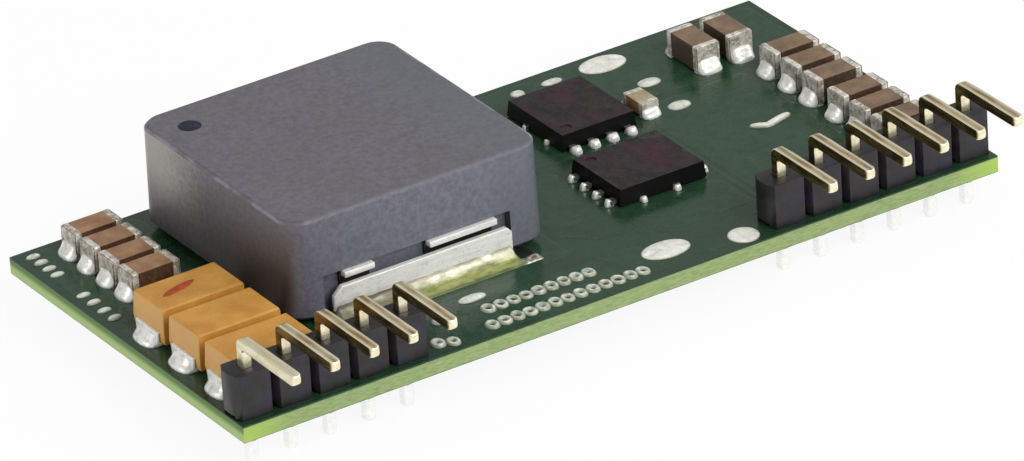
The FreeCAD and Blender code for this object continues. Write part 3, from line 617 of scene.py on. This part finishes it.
def add_foot(bm, foot, layer, bulge, cover, stretch, spread):
    """One joint: a layer under or, for cover, over the terminal, then a slope to a round toe."""
    columns = 13
    rows = 12
    reach = foot["reach"] * draw.uniform(0.92, 1.0) * stretch
    rise = foot["rise"] * draw.uniform(0.9, 1.0)
    centre = (foot["start"] + foot["end"]) / 2
    half = (foot["end"] - foot["start"]) / 2 * draw.uniform(0.88, 1.0) * spread
    lean = draw.uniform(-0.15, 0.15)
    steps = [-min(foot["inward"], 0.5), -0.03, -0.01]
    if cover:
        steps = [-cover * math.cos(math.pi / 2 * k / 5) for k in range(5)]
    steps += [reach * math.sin(math.pi / 2 * k / rows) for k in range(rows + 1)]
    surface = []
    for out in steps:
        u = max(out / reach, 0.0)
        narrow = half * (1.0 - 0.2 * u ** 2) * math.sqrt(max(1.0 - u ** 5, 0.02))
        row = []
        for column in range(columns):
            w = math.sin(math.pi / 2 * (2 * column / (columns - 1) - 1))
            side = max(1.0 - abs(w) ** 6, 0.0) ** 0.5
            slope = (rise - layer) * (1.0 - u) ** 3 * (0.75 + 0.25 * (1 - w * w)) * (1 + lean * w)
            round_toe = bulge * rise * math.sqrt(max(1.0 - u ** 4, 0.0)) * (1 - 0.6 * w * w)
            if out >= -0.02:
                height = min(layer * (1 - u ** 6) + slope + round_toe, foot["rise"])
            elif cover:
                height = foot["rise"] * math.sqrt(1.0 - (out / cover) ** 2)
            else:
                height = layer
            height *= side
            place = Vector((0, 0, foot["base"] + foot["up"] * height))
            place[foot["axis"]] = foot["face"] + foot["outward"] * out
            place[1 - foot["axis"]] = centre + w * narrow
            row.append(place)
        surface.append(row)
    for row in (surface[0], surface[-1]):
        for place in row:
            place.z = foot["base"]
    cap_outline(bm, skin(bm, surface))


def add_dome(bm, points, base, up, height, power, dips=(), flat=4):
    """A tinned pad: a low cushion over the box of some points, round or with tighter corners. dips
    are sunk places as (x, y, radius, depth); a lower value of flat makes it more of a dome."""
    low, high = span(points)
    centre = (low + high) / 2
    half_x = (high.x - low.x) / 2
    half_y = (high.y - low.y) / 2
    around = 48
    levels = 9
    rows = []
    for level in range(levels):
        share = math.cos(math.pi / 2 * level / (levels - 1))
        row = []
        for step in range(around):
            angle = 2 * math.pi * step / around
            c, s = math.cos(angle), math.sin(angle)
            grow = (abs(c) ** power + abs(s) ** power) ** (-1 / power)
            x = centre.x + half_x * grow * c * share
            y = centre.y + half_y * grow * s * share
            z = height * (1 - share ** flat) ** 0.5 if share < 1 else 0.0
            for dip_x, dip_y, radius, depth in dips:
                away = ((x - dip_x) ** 2 + (y - dip_y) ** 2) / radius ** 2
                z -= depth * math.exp(-away)
            z += 0.012 * (noise.noise(Vector((x * 1.3, y * 1.3, 0))) + 1) * (1 - share)
            row.append(Vector((x, y, base + up * max(z, 0.002 if level else 0.0))))
        rows.append(row)
    tip = rows.pop()[0]
    grid = skin(bm, rows, True)
    close_with_tip(bm, grid[-1], tip)
    cap(bm, grid[0][::-1])


def add_turned(bm, centre, profile, around, deep=1.0):
    """A ring turned about an upright axis from a closed profile of (radius, height); deep
    stretches it from front to back."""
    rows = []
    for radius, height in profile + [profile[0]]:
        row = []
        for step in range(around):
            angle = 2 * math.pi * step / around
            row.append(centre + Vector((radius * math.cos(angle), radius * math.sin(angle) * deep, height)))
        rows.append(row)
    grid = skin(bm, rows[:-1], True)
    first, last = grid[0], grid[-1]
    for i in range(around):
        j = (i + 1) % around
        bm.faces.new((last[i], last[j], first[j], first[i]))


def solder_pieces(material):
    """Joints with wetted slopes in place of the plain ones. Each form is a node with its layer,
    bulge, cover and stretch; wider joints of the packages are the stubs of their tabs."""
    stub_width = 0.4
    side_stub_spread = 0.72
    back_stub_spread = 1.15
    forms = [("ceramic_solder", 0.14, 0.3, 0, 1.35), ("tantalum_solder", 0.16, 0.24, 0, 1.25),
             ("package_solder", 0.1, 0.75, 0.24, 1.0), ("underside_solder", 0.1, 0.3, 0, 1.1)]
    for node, layer, bulge, cover, stretch in forms:
        bm = bmesh.new()
        for foot in feet(node):
            spread = 1.0
            if cover and foot["end"] - foot["start"] > stub_width:
                spread = side_stub_spread if foot["axis"] == 0 else back_stub_spread
            add_foot(bm, foot, layer, bulge, cover, stretch * spread, spread)
        for points in islands(node):
            low, high = span(points)
            if high.z - low.z < 0.1:
                above = low.z > BOARD_BASE
                base = BOARD_TOP if above else BOARD_BASE
                add_dome(bm, points, base, 1 if above else -1, 0.1, 5.0)
        piece = make_piece(node + "_joints", bm, material)
        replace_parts(piece, node)


def chip_end_caps(nodes, material):
    """Plated ends as blocks with softly rounded corners, in place of the sharp ones."""
    widest_radius = 0.11
    radius_share = 0.3
    for node in nodes:
        bm = bmesh.new()
        for points in islands(node):
            low, high = span(points)
            size = high - low
            radius = min(widest_radius, min(size) * radius_share)
            corners = bmesh.ops.create_cube(bm, size=1.0)["verts"]
            for vert in corners:
                vert.co = (low + high) / 2 + Vector([vert.co[i] * size[i] for i in range(3)])
            edges = list({edge for vert in corners for edge in vert.link_edges})
            bmesh.ops.bevel(bm, geom=edges, offset=radius, segments=3, profile=0.5, affect="EDGES")
        piece = make_piece(node + "_caps", bm, material)
        even = piece.modifiers.new("normals", "WEIGHTED_NORMAL")
        even.weight = 100
        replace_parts(piece, node)


def tail_solder(material):
    """Hollow cones of solder round the pins' tails, under the board."""
    bore = 0.3
    neck = 0.38
    bm = bmesh.new()
    for points in islands("pin_solder"):
        low, high = span(points)
        middle = (low + high) / 2
        foot = (high.x - low.x) / 2
        drop = high.z - low.z
        centre = Vector((middle.x, middle.y, high.z))
        profile = [(bore, 0.0), (foot, 0.0)]
        for step in range(1, 9):
            t = step / 8
            profile.append((neck + (foot - neck) * (1 - t) ** 2.4, -drop * t))
        profile.append((bore, -drop))
        add_turned(bm, centre, profile, 28)
    piece = make_piece("tail_solder_cones", bm, material)
    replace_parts(piece, "pin_solder")


def via_rings(material, dark):
    """Small plated rings with a rounded crest, almost closed by tin, round a thin dark disc painted as
    the shade in each hole.
    """
    rings = bmesh.new()
    throats = bmesh.new()
    for points in islands("plated_vias"):
        low, high = span(points)
        centre = (low + high) / 2
        centre.z = BOARD_TOP
        outer = (high.x - low.x) / 2 * draw.uniform(1.1, 1.22)
        inner = outer * draw.uniform(0.2, 0.4)
        crest = draw.uniform(0.12, 0.18)
        deep = draw.uniform(1.12, 1.24)
        profile = []
        for step in range(9):
            t = step / 8
            profile.append((outer + (inner - outer) * t, 0.004 + crest * math.sin(math.pi * t) ** 0.6))
        profile += [(inner, 0.0), (outer, 0.0)]
        add_turned(rings, centre, profile, 24, deep)
        # Painted shade: a thin dark disc in each ring's hole.
        disc = [(inner * 1.1, 0.0), (inner * 1.1, 0.006), (0.001, 0.006), (0.001, 0.0)]
        add_turned(throats, centre, disc, 12)
    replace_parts(make_piece("via_ring_set", rings, material), "plated_vias")
    make_piece("via_throats", throats, dark, smooth=False)


def hole_shade_material():
    """Painted shade at the bottom of the small holes: a dark disc for their shaded depth."""
    s = Shader("via_throat", roughness=0.6, specular=0.2)
    grain = s.noise(8.0, 3.0)
    colour = s.mix(s.remap(grain, 0.3, 0.7), rgb(22, 34, 22), rgb(48, 60, 40))
    return s.finish(colour, s.remap(grain, 0.3, 0.7, 0.7, 0.5), s.bump(grain, 0.2, 0.02))


def add_streak(bm, route, width, height):
    """A low half-round bead along a bent route of board places, with rounded ends."""
    count = 28
    around = 9
    runs = [(Vector(b) - Vector(a)).length for a, b in zip(route, route[1:])]
    rows = []
    for step in range(count + 1):
        t = step / count
        left = t * sum(runs)
        part = 0
        while part < len(runs) - 1 and left > runs[part]:
            left -= runs[part]
            part += 1
        here = Vector(route[part]).lerp(Vector(route[part + 1]), left / runs[part])
        along = (Vector(route[part + 1]) - Vector(route[part])).normalized()
        taper = math.sqrt(max(1 - abs(2 * t - 1) ** 5, 0.0004))
        row = []
        for i in range(around):
            angle = math.pi * i / (around - 1)
            offset = width / 2 * taper * math.cos(angle)
            lift = height * taper * math.sin(angle) if 0 < i < around - 1 else 0.0
            row.append(on_board(here.x - along.y * offset, here.y + along.x * offset, lift))
        rows.append(row)
    grid = skin(bm, rows, True)
    cap(bm, grid[0][::-1])
    cap(bm, grid[-1])


def tinned_pads(material, darker_tin):
    """Bare pads as low cushions of tin, and the bent one as a bead; the ovals have a sunk hole near
    each end, the large round pad one beside its middle."""
    bright = bmesh.new()
    small = bmesh.new()
    streak_spread = 1.35
    least_oval = 2.2
    for points in islands("bare_pads"):
        low, high = span(points)
        centre = (low + high) / 2
        length = high.x - low.x
        width = high.y - low.y
        dips = []
        if length > width * 5:
            ends = [(low.x, 0.4), (low.x + 0.33 * length, -0.22), (low.x + 0.62 * length, 0.02), (high.x, 0.3)]
            route = [(x - board_low.x / MM, centre.y + y - board_low.y / MM) for x, y in ends]
            add_streak(bright, route, width * streak_spread, 0.2)
        elif len(points) <= 8:
            add_dome(small, points, BOARD_TOP, 1, draw.uniform(0.14, 0.22), 2.3, (), 2)
        elif length * width < least_oval:
            add_dome(bright, points, BOARD_TOP, 1, 0.26, 2.1, (), 2)
        elif length > width * 1.2:
            for side in (-1, 1):
                dips.append((centre.x + side * length * 0.36, centre.y, 0.2, 0.14))
            add_dome(bright, points, BOARD_TOP, 1, 0.15, 2.1, dips)
        else:
            dips.append((centre.x - 0.1 * length, centre.y, 0.2 * length, 0.13))
            add_dome(bright, points, BOARD_TOP, 1, 0.14, 2.0, dips)
    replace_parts(make_piece("tinned_pad_set", bright, material), "bare_pads")
    make_piece("small_pad_set", small, darker_tin)


def inductor_feet(material):
    """Wide wetted banks along the inductor's two terminals."""
    bm = bmesh.new()
    body_low, body_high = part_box("inductor_body")
    middle = (body_low.y + body_high.y) / 2 / MM
    layer = 0.12
    under_bend = 0.5
    count = 90
    for points in islands("inductor_solder"):
        low, high = span(points)
        outward = -1 if (low.y + high.y) / 2 < middle else 1
        toe = low.y if outward < 0 else high.y
        heel = high.y if outward < 0 else low.y
        rise = high.z - BOARD_TOP
        top = [p for p in points if p.z > high.z - 0.005]
        face = top[0].y
        start, end = min(p.x for p in top), max(p.x for p in top)
        reach = abs(toe - face)
        steps = [(heel - face) * outward, -under_bend, -under_bend / 2, -0.02]
        steps += [reach * math.sin(math.pi / 2 * k / 12) for k in range(13)]
        rows = []
        for out in steps:
            row = []
            for i in range(count + 1):
                x = low.x + (high.x - low.x) * i / count
                inside = min(x - low.x, high.x - x)
                along = min(max((x - start + 0.15) / 0.3, 0), 1) * min(max((end + 0.15 - x) / 0.3, 0), 1)
                u = max(out, 0.0) / reach
                wave = 1 + 0.3 * noise.noise(Vector((x * 1.1, out * 2, 7)))
                film = layer * min(inside / 0.2, 1.0) ** 0.5 * max(1 - u ** 5, 0) ** 0.5
                film *= 1 + 0.5 * noise.noise(Vector((x * 1.7, out * 1.7, 3)))
                if out >= 0:
                    climb = (1 - u) ** 1.9 * wave
                else:
                    climb = max(1 + out / under_bend, 0.0) ** 2
                z = min(film + (rise - layer) * along * climb, rise)
                row.append(Vector((x, face + outward * out, BOARD_TOP + max(z, 0.0))))
            rows.append(row)
        for place in rows[0] + rows[-1] + [row[0] for row in rows] + [row[-1] for row in rows]:
            place.z = BOARD_TOP
        cap_outline(bm, skin(bm, rows))
    piece = make_piece("inductor_solder_banks", bm, material)
    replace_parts(piece, "inductor_solder")


# Marks: a plain dot on the inductor and a plain stroke on one tantalum case

def add_blot(bm, centre, length, width, turn, thickness, seed):
    """A thin printed blot: an uneven ellipse with a soft outline."""
    around = 40
    rows = []
    for share, height in ((1.0, 0.0), (0.97, thickness), (0.0, thickness)):
        row = []
        for step in range(around):
            angle = 2 * math.pi * step / around
            wobble = 1 + 0.08 * noise.noise(Vector((math.cos(angle) * 2, math.sin(angle) * 2, seed)))
            x = length / 2 * math.cos(angle) * wobble * share
            y = width / 2 * math.sin(angle) * wobble * share
            row.append(centre + Vector((x * math.cos(turn) - y * math.sin(turn),
                                        x * math.sin(turn) + y * math.cos(turn), height)))
        rows.append(row)
    tip = rows.pop()[0]
    grid = skin(bm, rows, True)
    close_with_tip(bm, grid[-1], tip)
    cap(bm, grid[0][::-1])


def inductor_dot():
    low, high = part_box("inductor_body")
    from_left = 2.25
    from_back = 2.62
    across = 1.34
    floor = high.z / MM - 0.05
    bm = bmesh.new()
    add_blot(bm, Vector((low.x / MM + from_left, high.y / MM - from_back, floor)), across, across, 0, 0.02, 3)
    ink = ink_material("navy_ink", rgb(24, 24, 42), rgb(44, 42, 70))
    make_piece("inductor_dot", bm, ink)


def tantalum_stroke():
    low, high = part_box("tantalum_case_3")
    centre = Vector((low.x / MM + 2.15, (low.y + high.y) / 2 / MM + 0.07, high.z / MM))
    bm = bmesh.new()
    add_blot(bm, centre, 2.5, 0.62, 0.27, 0.008, 5)
    ink = ink_material("rust_ink", rgb(150, 58, 30), rgb(186, 84, 44))
    make_piece("tantalum_stroke", bm, ink)


# Copper under the mask: low plateaus and tracks

def add_plateau(bm, corners, height):
    """A low plate with a sloped rim on a convex outline of board places."""
    centre = sum((Vector((x, y, 0)) for x, y in corners), Vector()) / len(corners)
    rows = []
    for inset, z in ((0.0, 0.0), (0.12, height)):
        row = []
        for x, y in corners:
            away = Vector((x, y, 0)) - centre
            row.append(on_board(x, y, z) - away.normalized() * inset)
        rows.append(row)
    grid = skin(bm, rows, True)
    cap(bm, grid[1])
    cap(bm, grid[0][::-1])


def chamfered(x0, y0, x1, y1, cut=0.35):
    return [(x0 + cut, y0), (x1 - cut, y0), (x1, y0 + cut), (x1, y1 - cut),
            (x1 - cut, y1), (x0 + cut, y1), (x0, y1 - cut), (x0, y0 + cut)]


def add_track(bm, route, width, height):
    """A track of even width along a few straight runs, with mitred bends."""
    left = []
    right = []
    for i, (x, y) in enumerate(route):
        here = Vector((x, y))
        before = Vector(route[i - 1]) if i else None
        after = Vector(route[i + 1]) if i + 1 < len(route) else None
        into = (here - before).normalized() if before else (after - here).normalized()
        out = (after - here).normalized() if after else into
        along = (into + out).normalized()
        side = Vector((-along.y, along.x)) * (width / 2) / max(along.dot(into), 0.5)
        left.append(here + side)
        right.append(here - side)
    rows = []
    for i in range(len(route)):
        inner_left = left[i].lerp(right[i], 0.15)
        inner_right = right[i].lerp(left[i], 0.15)
        rows.append([on_board(left[i].x, left[i].y, 0), on_board(inner_left.x, inner_left.y, height),
                     on_board(inner_right.x, inner_right.y, height), on_board(right[i].x, right[i].y, 0)])
    grid = skin(bm, rows, True)
    cap(bm, grid[0][::-1])
    cap(bm, grid[-1])


def mask_relief(material):
    """The mask's low steps over the copper: areas by two opposite corners, tracks by their runs."""
    copper = 0.01
    bm = bmesh.new()
    pours = [
        (0.5, 2.1, 8.2, 13.9), (0.5, 14.5, 8.2, 24.9), (8.7, 5.2, 25.2, 24.9),
        (25.8, 8.2, 29.9, 14.6), (25.8, 15.2, 36.8, 24.9), (37.6, 18.6, 50.3, 24.9),
        (37.6, 4.2, 45.4, 18.0), (46.0, 4.2, 50.3, 18.0), (15.6, 0.45, 28.6, 4.1), (30.4, 4.2, 36.8, 7.8),
    ]
    for pour in pours:
        add_plateau(bm, chamfered(*pour), copper)
    tracks = [
        [(26.0, 7.4), (27.4, 6.0), (28.2, 6.0), (29.0, 5.2)], [(36.0, 3.0), (37.2, 3.0), (38.0, 3.7)],
        [(31.4, 0.8), (32.5, 0.8)], [(29.7, 4.4), (29.7, 7.4)], [(37.2, 4.2), (37.2, 14.0)],
    ]
    for route in tracks:
        add_track(bm, route, 0.3, copper)
    make_piece("mask_relief", bm, material, smooth=False)


# Stage: camera, lamps and a pale floor

def place_camera():
    """Camera at the photograph's angle, roll, distance and framing."""
    azimuth = math.radians(-31.2022)
    elevation = math.radians(27.9278)
    roll = math.radians(-3.7058)
    distance = 582.79
    focal_pixels = 10271.3
    sensor = 36.0
    target = on_board(24.0862, 9.9656)
    right = Vector((math.cos(azimuth), math.sin(azimuth), 0))
    back = Vector((math.sin(azimuth) * math.cos(elevation), -math.cos(azimuth) * math.cos(elevation),
                   math.sin(elevation)))
    up = back.cross(right)
    turned_right = right * math.cos(roll) + up * math.sin(roll)
    turned_up = up * math.cos(roll) - right * math.sin(roll)
    data = bpy.data.cameras.new("camera")
    data.sensor_width = sensor
    data.lens = focal_pixels * sensor / PHOTO_WIDTH
    data.clip_start = 0.01
    data.clip_end = 10.0
    camera = bpy.data.objects.new("camera", data)
    bpy.context.scene.collection.objects.link(camera)
    axes = Matrix((turned_right, turned_up, back)).transposed().to_4x4()
    camera.matrix_world = Matrix.Translation((target + back * distance) * MM) @ axes
    bpy.context.scene.camera = camera


def place_lamp(name, place, aim, size, power):
    data = bpy.data.lights.new(name, "AREA")
    data.shape = "DISK"
    data.size = size
    data.energy = power
    lamp = bpy.data.objects.new(name, data)
    lamp.location = place
    lamp.rotation_euler = (Vector(aim) - Vector(place)).to_track_quat("-Z", "Y").to_euler()
    bpy.context.scene.collection.objects.link(lamp)


def shown_white(tree):
    """1 for what the camera, a mirror or a glass sees, 0 for what lights the part."""
    path = tree.nodes.new("ShaderNodeLightPath")
    total = path.outputs["Is Camera Ray"]
    for name in ("Is Glossy Ray", "Is Transmission Ray"):
        add = tree.nodes.new("ShaderNodeMath")
        add.operation = "MAXIMUM"
        tree.links.new(total, add.inputs[0])
        tree.links.new(path.outputs[name], add.inputs[1])
        total = add.outputs[0]
    return total


def place_floor():
    """A wide pale floor that shows white and keeps a soft share of the part's shadow."""
    radius = 3.0
    white_share = 0.92
    bm = bmesh.new()
    bmesh.ops.create_circle(bm, cap_ends=True, segments=96, radius=radius)
    mesh = bpy.data.meshes.new("floor")
    bm.to_mesh(mesh)
    bm.free()
    floor = bpy.data.objects.new("floor", mesh)
    bpy.context.scene.collection.objects.link(floor)
    material = bpy.data.materials.new("pale_floor")
    material.use_nodes = True
    tree = material.node_tree
    tree.nodes.clear()
    matte = tree.nodes.new("ShaderNodeBsdfDiffuse")
    matte.inputs["Color"].default_value = (0.92, 0.92, 0.92, 1)
    glow = tree.nodes.new("ShaderNodeEmission")
    glow.inputs["Strength"].default_value = 1.0
    blend = tree.nodes.new("ShaderNodeMixShader")
    share = tree.nodes.new("ShaderNodeMath")
    share.operation = "MULTIPLY"
    share.inputs[1].default_value = white_share
    tree.links.new(shown_white(tree), share.inputs[0])
    tree.links.new(share.outputs[0], blend.inputs[0])
    tree.links.new(matte.outputs[0], blend.inputs[1])
    tree.links.new(glow.outputs[0], blend.inputs[2])
    output = tree.nodes.new("ShaderNodeOutputMaterial")
    tree.links.new(blend.outputs[0], output.inputs["Surface"])
    mesh.materials.append(material)


def light_world():
    """Even pale surroundings, the same to the camera, to reflections and as a light."""
    world = bpy.data.worlds.new("surroundings")
    bpy.context.scene.world = world
    world.use_nodes = True
    tree = world.node_tree
    tree.nodes.clear()
    back = tree.nodes.new("ShaderNodeBackground")
    back.inputs["Color"].default_value = (1, 1, 1, 1)
    back.inputs["Strength"].default_value = 0.5
    output = tree.nodes.new("ShaderNodeOutputWorld")
    tree.links.new(back.outputs[0], output.inputs["Surface"])


def light_stage():
    aim = (0, 0, 0.004)
    across = 0.24
    place_lamp("key", (0.06, -0.30, 0.25), aim, across, 0.95)
    place_lamp("fill", (0.30, -0.10, 0.18), aim, across, 0.2)
    place_lamp("rim", (-0.30, 0.10, 0.14), aim, across, 0.2)
    light_world()
    place_floor()
    bpy.context.scene.view_settings.view_transform = "Standard"


# Putting it together

solder = solder_material()
plated = plated_material()
tinned = strip_metal_material("tinned_strip")
body_low, body_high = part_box("inductor_body")
body_middle = (body_low.y + body_high.y) / 2 / MM
wide_strip = strip_metal_material("wide_tinned_strip", (body_middle, body_middle - terminal_low.y / MM))
epoxy = epoxy_material()
warm_ceramic = ceramic_material("warm_chip_ceramic", rgb(134, 96, 62), rgb(170, 130, 92), rgb(70, 44, 30))
ceramic = ceramic_material("chip_ceramic", rgb(104, 82, 60), rgb(136, 110, 84), rgb(54, 38, 28))
beige = ceramic_material("small_chip_ceramic", rgb(146, 134, 104), rgb(180, 172, 140),
                         rgb(150, 100, 54))

dress(["circuit_board"], board_material(), 0.03)
dress(nodes_like("left_header", "right_header"), strip_material(), 0.06)
dress(nodes_like("left_pin", "right_pin"), pin_material(), 0.1, 3)
dress(["inductor_body"], inductor_material(), 0.06, 3)
dress(["inductor_front_terminal", "inductor_rear_terminal"], wide_strip, 0.05)
dress(nodes_like("tantalum_case"), tantalum_material(), 0.07)
dress(nodes_like("tantalum_terminals"), tinned, 0.04)
dress(["left_ceramic_%d" % number for number in range(1, 5)], warm_ceramic, 0.08)
dress(["right_ceramic_%d" % number for number in range(1, 7)], ceramic, 0.08)
dress(["rear_ceramic_1", "rear_ceramic_2"], ceramic, 0.08)
dress(["underside_ceramics"], ceramic, 0.05)
dress(["small_ceramic"], beige, 0.05)
dress(["rear_power_package", "front_power_package", "control_chip"], epoxy, 0.06)
dress(["rear_power_leads", "front_power_leads"], dull_lead_material(), 0.03)
dress(["control_chip_leads"], tinned, 0.03)
dress(["underside_resistors"], resistor_material(), 0.03)

chip_end_caps(nodes_like("left_ceramic_ends", "right_ceramic_ends", "rear_ceramic_ends",
                         "small_ceramic_ends", "underside_ceramic_ends", "underside_resistor_ends"),
              plated)
solder_pieces(solder)
tail_solder(solder)
inductor_feet(terminal_solder_material())
via_rings(pad_material("ring_tin", rgb(138, 152, 128), rgb(240, 244, 230)), hole_shade_material())
tinned_pads(pad_material("pad_tin", rgb(222, 222, 208), rgb(252, 252, 245), 0.999),
            pad_material("small_pad_tin", rgb(196, 200, 184), rgb(240, 242, 230)))
inductor_dot()
tantalum_stroke()
mask_relief(relief_material())

place_camera()
light_stage()
